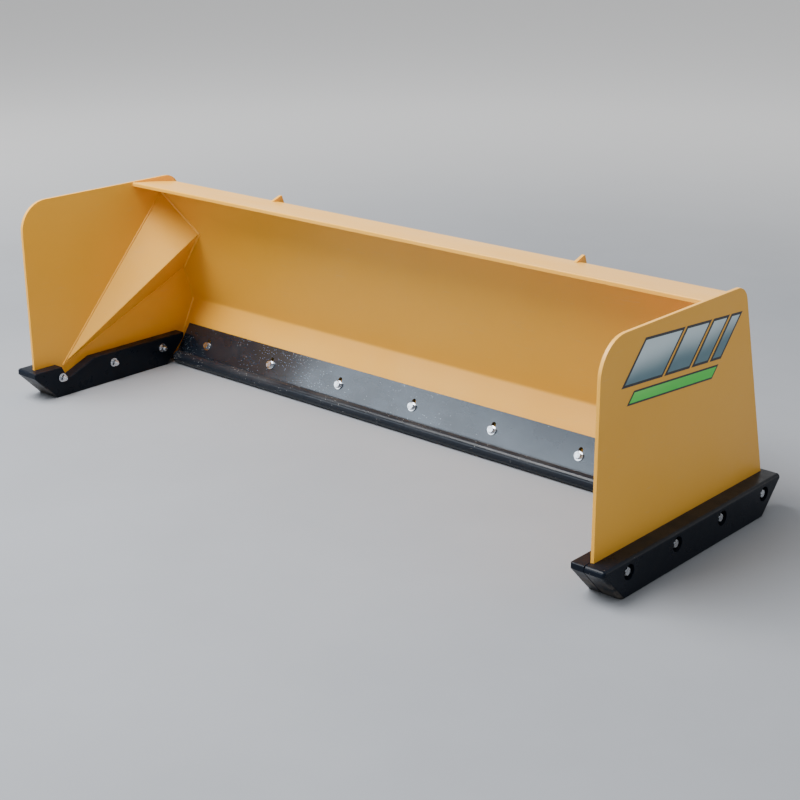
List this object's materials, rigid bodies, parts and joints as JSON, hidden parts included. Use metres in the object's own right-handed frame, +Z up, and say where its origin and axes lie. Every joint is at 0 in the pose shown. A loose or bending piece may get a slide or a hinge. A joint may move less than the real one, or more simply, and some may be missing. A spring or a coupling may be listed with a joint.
{
  "type": "snow pusher attachment",
  "caption": "Open-bottomed box blade for pushing snow, with side plates on bolted skid shoes, a slotted bolt-on pipe edge and a hook-and-latch coupler frame behind.",
  "frame": {"origin": "on the ground, midway between the two shoes and midway along their length", "axes": "+X to the right as seen from the open front, -Y out of the open front, +Z up"},
  "size_m": [2.23, 0.793, 0.6235],
  "materials": {
    "yellow_paint": "satin powder coat",
    "shoe_plastic": "machined black polyethylene with a soft sheen",
    "black_edge_steel": "semi-gloss black paint",
    "zinc_fasteners": "bright zinc plate"
  },
  "bodies": {
    "frame": {"left_side_plate": "yellow_paint", "right_side_plate": "yellow_paint", "moldboard": "yellow_paint", "top_rail": "yellow_paint", "left_corner_brace": "yellow_paint", "right_corner_brace": "yellow_paint", "back_shelf": "yellow_paint", "backing_bar": "yellow_paint", "left_outer_rib": "yellow_paint", "right_outer_rib": "yellow_paint", "left_inner_rib": "yellow_paint", "right_inner_rib": "yellow_paint", "left_end_rib": "yellow_paint", "right_end_rib": "yellow_paint", "coupler_plate": "yellow_paint", "coupler_hook": "yellow_paint", "latch_lip": "yellow_paint", "left_outer_shoe": "shoe_plastic", "left_inner_shoe": "shoe_plastic", "right_outer_shoe": "shoe_plastic", "right_inner_shoe": "shoe_plastic", "left_shoe_bolts": "zinc_fasteners", "left_shoe_head_washers": "zinc_fasteners", "left_shoe_nut_washers": "zinc_fasteners", "left_shoe_nuts": "zinc_fasteners", "right_shoe_bolts": "zinc_fasteners", "right_shoe_head_washers": "zinc_fasteners", "right_shoe_nut_washers": "zinc_fasteners", "right_shoe_nuts": "zinc_fasteners", "edge_bolts": "zinc_fasteners", "edge_front_washers": "zinc_fasteners", "edge_back_washers": "zinc_fasteners", "edge_nuts": "zinc_fasteners"},
    "cutting_edge": {"edge_plate": "black_edge_steel", "edge_pipe": "black_edge_steel", "edge_stitch_welds": "black_edge_steel"}
  },
  "joints": [
    {"name": "edge_adjust", "type": "slide", "parent": "frame", "child": "cutting_edge", "axis": [0, -0.4384, -0.8988], "range_m": [0, 0.017]}
  ]
}
